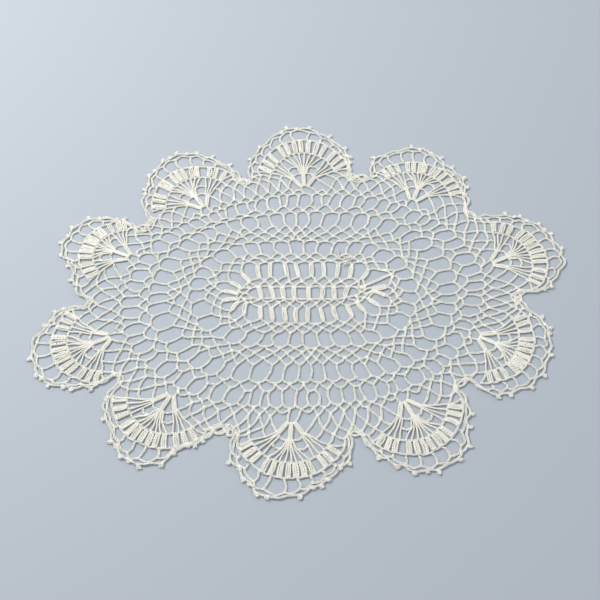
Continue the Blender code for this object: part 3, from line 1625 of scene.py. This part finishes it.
@dataclass
class StitchRun:
    """The places of one kind of stitch in one piece."""

    spots: list[tuple[float, float, float]] = field(default_factory=list)
    turns: list[tuple[float, float, float]] = field(default_factory=list)
    sizes: list[tuple[float, float, float]] = field(default_factory=list)
    tones_and_shade: list[float] = field(default_factory=list)

    def add(self, spot: tuple[float, float, float], turn: tuple[float, float, float],
            size: tuple[float, float, float], tone_and_shade: float) -> None:
        """Add one stitch.

        Args:
            spot: its middle, in millimetres.
            turn: its turns, in radians.
            size: its scale along each axis.
            tone_and_shade: how deep its colour is, from 0: a random tone, set higher on the dense
                stitches as painted shade.
        """
        self.spots.append(spot)
        self.turns.append(turn)
        self.sizes.append(size)
        self.tones_and_shade.append(tone_and_shade)


@dataclass
class Crochet:
    """Works the lines of the chart in stitches, and makes each piece's mesh of them."""

    chart: Chart
    meshes: StitchMeshes = field(default_factory=StitchMeshes)
    chain_pitch: float = 2.0
    post_height: float = 0.74
    rest: float = 0.76
    # Spacing of the tall stitches in a block, as shares of their pitch: at the foot, what it
    # grows by to the top, and how much more the block swells in the middle.
    gap_foot: float = 0.74
    gap_growth: float = 0.1
    gap_swell: float = 0.22
    runs: dict[str, dict[str, StitchRun]] = field(default_factory=dict)
    chance: random.Random = field(default_factory=lambda: random.Random(SEED + 1))

    def run(self, piece: str, kind: str) -> StitchRun:
        """The run of one kind of stitch in a piece."""
        fresh = {name: StitchRun() for name in ("chain", "post", "knot")}
        return self.runs.setdefault(piece, fresh)[kind]

    def work_chain(self, line: Line, path: np.ndarray) -> None:
        """Fill a line with chain stitches.

        Args:
            line: the line of the chart.
            path: points along it.
        """
        run = self.run(line.piece, "chain")
        chance = self.chance
        length = path_length(path)
        count = max(1, round(length / self.chain_pitch))
        stretch = length / count / self.chain_pitch
        sway = chance.uniform(-0.1, 0.1)
        for step in range(count):
            part = (step + 0.5) / count
            spot = point_at(path, part)
            back, front = point_at(path, part - 0.3 / count), point_at(path, part + 0.3 / count)
            heading = math.atan2(front[1] - back[1], front[0] - back[0])
            end = abs(part - 0.5) * 2
            height = self.rest + line.lift + 0.16 * end**3 + chance.gauss(0, 0.04)
            # Chains get a random colour depth about a pale mean; the dense stitches sit deeper as
            # painted shade.
            run.add(
                (spot[0], spot[1], height),
                (chance.gauss(sway, 0.2), chance.gauss(0, 0.05), heading + chance.gauss(0, 0.1)),
                (
                    stretch * chance.uniform(0.97, 1.05),
                    chance.uniform(0.9, 1.1) * min(1.06, 1 / stretch**0.5),
                    chance.uniform(0.92, 1.08),
                ),
                chance.gauss(0.12, 0.12),
            )

    def work_posts(self, line: Line, path: np.ndarray) -> None:
        """Fill a line with one tall stitch, or with several side by side.

        Args:
            line: the line of the chart.
            path: points along it.
        """
        run = self.run(line.piece, "post")
        chance = self.chance
        length = path_length(path)
        count = max(1, round(length / self.meshes.post_length))
        stretch = length / count / self.meshes.post_length
        height = max(self.rest + 0.03, self.post_height * line.plump) + line.lift
        for post in range(line.strands):
            side = post - (line.strands - 1) / 2
            phase = chance.uniform(0, math.pi)
            bend = chance.gauss(0, 0.12)
            for step in range(count):
                part = (step + 0.5) / count
                spots = []
                for share in (part - 0.5 / count, part + 0.5 / count):
                    spot = point_at(path, share)
                    ahead = point_at(path, min(share + 0.02, 1))
                    behind = point_at(path, max(share - 0.02, 0))
                    way = (ahead - behind) / max(float(np.linalg.norm(ahead - behind)), 1e-6)
                    swell = self.gap_swell * math.sin(math.pi * share)
                    gap = line.pitch * (self.gap_foot + self.gap_growth * share + swell)
                    offset = side * gap + bend * math.sin(math.pi * share)
                    spots.append(spot + np.array([-way[1], way[0]]) * offset)
                middle = (spots[0] + spots[1]) / 2
                heading = math.atan2(spots[1][1] - spots[0][1], spots[1][0] - spots[0][0])
                # Tall stitches are set deeper than the chains: painted shade where strands lie side by
                # side, with a random tone on top.
                run.add(
                    (middle[0], middle[1], height + chance.gauss(0, 0.02)),
                    (phase, chance.gauss(0, 0.02), heading),
                    (stretch, line.plump * chance.uniform(0.95, 1.05), min(line.plump, 1.2)),
                    chance.gauss(0.3, 0.12),
                )

    def tie(self) -> None:
        """Put a wrap of thread on each junction that an arch is worked into."""
        seen: set[int] = set()
        for line in self.chart.lines:
            if line.stitch is not Stitch.CHAIN:
                continue
            for node, other in ((line.nodes[0], line.nodes[1]), (line.nodes[-1], line.nodes[-2])):
                if node in seen:
                    continue
                seen.add(node)
                x, y = self.chart.places[node]
                to_x, to_y = self.chart.places[other]
                heading = math.atan2(to_y - y, to_x - x)
                # Knots are set deeper than the chains: painted shade where threads cross, with a random
                # tone on top.
                self.run(line.piece, "knot").add(
                    (x, y, self.rest + 0.08 + self.chance.gauss(0, 0.04)),
                    (0.0, self.chance.gauss(0, 0.2), heading + self.chance.gauss(0, 0.3)),
                    (1.0, self.chance.uniform(0.95, 1.15), self.chance.uniform(0.8, 0.95)),
                    self.chance.gauss(0.3, 0.1),
                )

    def work(self) -> None:
        """Work every line of the chart."""
        for line in self.chart.lines:
            points = [np.array(self.chart.places[node]) for node in line.nodes]
            path = smooth_path(points, line, self.chance)
            if line.stitch is Stitch.CHAIN:
                self.work_chain(line, path)
            else:
                self.work_posts(line, path)
        self.tie()

    def cloud(self, name: str, run: StitchRun) -> bpy.types.Object:
        """Make a mesh of one vertex for each stitch, with its turn, size and tint.

        Args:
            name: of the object.
            run: the stitches.

        Returns:
            The object.
        """
        middle = Vector((OUTLINE_MIDDLE[0], OUTLINE_MIDDLE[1], 0.0))
        bm = bmesh.new()
        for spot in run.spots:
            bm.verts.new((Vector(spot) - middle) * MM)
        mesh = as_mesh(bm, name)
        for label, values in (("turn", run.turns), ("size", run.sizes)):
            layer = mesh.attributes.new(label, "FLOAT_VECTOR", "POINT")
            layer.data.foreach_set("vector", [v for row in values for v in row])
        # The colour depth is a random tone, plus painted shade on the dense stitches.
        mesh.attributes.new("tone_and_shade", "FLOAT", "POINT").data.foreach_set("value", run.tones_and_shade)
        return in_scene(name, mesh)

    def planting(self, stitch: bpy.types.Object) -> bpy.types.NodeTree:
        """Build geometry nodes that set a stitch on every point and make real mesh of them.

        Args:
            stitch: the shape of the stitch.

        Returns:
            The node group.
        """
        tree = bpy.data.node_groups.new(f"work_{stitch.name}", "GeometryNodeTree")
        for way in ("INPUT", "OUTPUT"):
            tree.interface.new_socket(name="Geometry", in_out=way, socket_type="NodeSocketGeometry")
        points = add_node(tree, "NodeGroupInput")
        shape = add_node(tree, "GeometryNodeObjectInfo", {}, Object=stitch)
        turn, size = (
            add_node(tree, "GeometryNodeInputNamedAttribute", {"data_type": "FLOAT_VECTOR"}, Name=name)
            for name in ("turn", "size")
        )
        planted = add_node(
            tree, "GeometryNodeInstanceOnPoints", {},
            Points=points.outputs[0], Instance=shape.outputs["Geometry"],
            Rotation=turn.outputs["Attribute"], Scale=size.outputs["Attribute"],
        )
        real = add_node(tree, "GeometryNodeRealizeInstances", {}, Geometry=planted.outputs["Instances"])
        add_node(tree, "NodeGroupOutput", {}, Geometry=real.outputs["Geometry"])
        return tree

    def pieces(self, finish: bpy.types.Material) -> dict[str, bpy.types.Object]:
        """Make each piece one mesh of real stitches.

        Args:
            finish: the thread's material.

        Returns:
            The pieces by name.
        """
        stitches = {"chain": self.meshes.chain(), "post": self.meshes.post(), "knot": self.meshes.knot()}
        trees = {kind: self.planting(stitch) for kind, stitch in stitches.items()}
        made = {}
        for piece, kinds in self.runs.items():
            joined = bmesh.new()
            for kind, run in kinds.items():
                if not run.spots:
                    continue
                cloud = self.cloud(f"{piece}_{kind}", run)
                cloud.modifiers.new("work", "NODES").node_group = trees[kind]
                ready = cloud.evaluated_get(bpy.context.evaluated_depsgraph_get())
                mesh = bpy.data.meshes.new_from_object(ready)
                joined.from_mesh(mesh)
                bpy.data.objects.remove(cloud)
                bpy.data.meshes.remove(mesh)
            mesh = as_mesh(joined, piece)
            mesh.materials.clear()
            mesh.materials.append(finish)
            mesh.shade_smooth()
            made[piece] = in_scene(piece, mesh)
            LOG.info("%s: %d triangles", piece, sum(len(face.vertices) - 2 for face in mesh.polygons))
        for stitch in stitches.values():
            bpy.data.objects.remove(stitch)
        return made


@dataclass
class Studio:
    """The pale floor, the soft lights and the camera."""

    floor_size: float = 24.0
    look_at: tuple[float, float, float] = (-0.00355, -0.00624, 0.0)
    camera_at: tuple[float, float, float] = (-0.00355, -0.51797, 0.70433)
    lens: float = 69.8
    # Name, place, size, power and colour of each lamp.
    lamps: tuple[tuple, ...] = (
        ("key", (-0.9, 0.5, 1.1), 0.5, 24.0, "FFFEFA"),
        ("fill", (0.9, -1.0, 1.3), 1.2, 9.0, "F4F7FF"),
        ("rim", (0.7, 1.3, 0.9), 1.0, 8.0, "FFFFFF"),
    )
    room_colour: str = "E6E9ED"
    room_strength: float = 0.42

    def floor(self) -> None:
        """Lay the floor that the doily lies on."""
        bm = bmesh.new()
        bmesh.ops.create_grid(bm, x_segments=1, y_segments=1, size=self.floor_size / 2)
        mesh = as_mesh(bm, "floor")
        mesh.materials.append(MattePaper().make())
        in_scene("floor", mesh)

    def lamp(
        self, name: str, spot: tuple[float, float, float], size: float, power: float, colour: str
    ) -> None:
        """Hang a square softbox that points at the doily.

        Args:
            name: of the lamp.
            spot: where it hangs, in metres.
            size: of its side, in metres.
            power: in watts.
            colour: an sRGB hex colour.
        """
        light = bpy.data.lights.new(name, "AREA")
        light.size = size
        light.energy = power
        light.color = linear(colour)[:3]
        lamp = in_scene(name, light)
        lamp.location = spot
        lamp.rotation_euler = (-Vector(spot)).to_track_quat("-Z", "Y").to_euler()

    def lights(self) -> None:
        """Hang the lamps, a soft key on the left, a fill and a back light, and light the room."""
        for name, spot, size, power, colour in self.lamps:
            self.lamp(name, spot, size, power, colour)
        world = bpy.data.worlds.new("room")
        world.use_nodes = True
        backdrop = world.node_tree.nodes["Background"]
        backdrop.inputs["Color"].default_value = linear(self.room_colour)
        backdrop.inputs["Strength"].default_value = self.room_strength
        bpy.context.scene.world = world

    def camera(self) -> None:
        """Set the camera above the near side, looking down at the doily."""
        data = bpy.data.cameras.new("camera")
        data.lens = self.lens
        data.sensor_width = 36.0
        camera = in_scene("camera", data)
        camera.location = self.camera_at
        way = Vector(self.look_at) - Vector(self.camera_at)
        camera.rotation_euler = way.to_track_quat("-Z", "Y").to_euler()
        bpy.context.scene.camera = camera
        bpy.context.scene.view_settings.view_transform = "Standard"

    def build(self) -> None:
        """Set the whole stage."""
        self.floor()
        self.lights()
        self.camera()


def flat_size(lace: bpy.types.Object, turn: float) -> tuple[float, float]:
    """Measure a flat piece across and along a direction.

    Args:
        lace: the piece.
        turn: the direction, in radians.

    Returns:
        Width and length, in metres.
    """
    spots = np.empty(len(lace.data.vertices) * 3)
    lace.data.vertices.foreach_get("co", spots)
    spots = spots.reshape(-1, 3)
    along = spots[:, 0] * math.cos(turn) + spots[:, 1] * math.sin(turn)
    across = spots[:, 1] * math.cos(turn) - spots[:, 0] * math.sin(turn)
    return float(np.ptp(across)), float(np.ptp(along))


def main() -> None:
    """Build the doily round its frame, light it and work out each piece's flat size."""
    logging.basicConfig(level=logging.INFO, format="%(name)s: %(message)s")
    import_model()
    Studio().build()
    chart = draw_chart()
    crochet = Crochet(chart)
    crochet.work()
    made = crochet.pieces(CrochetCotton().make())
    axes = {f"fan_{plan.name}": math.radians(plan.axis) for plan in FANS}
    for name, lace in made.items():
        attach(lace, BODY)
        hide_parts(NODE)
        flat = NET_BANDS.get(name) or flat_size(lace, axes.get(name, 0.0))


if __name__ == "__main__":
    main()
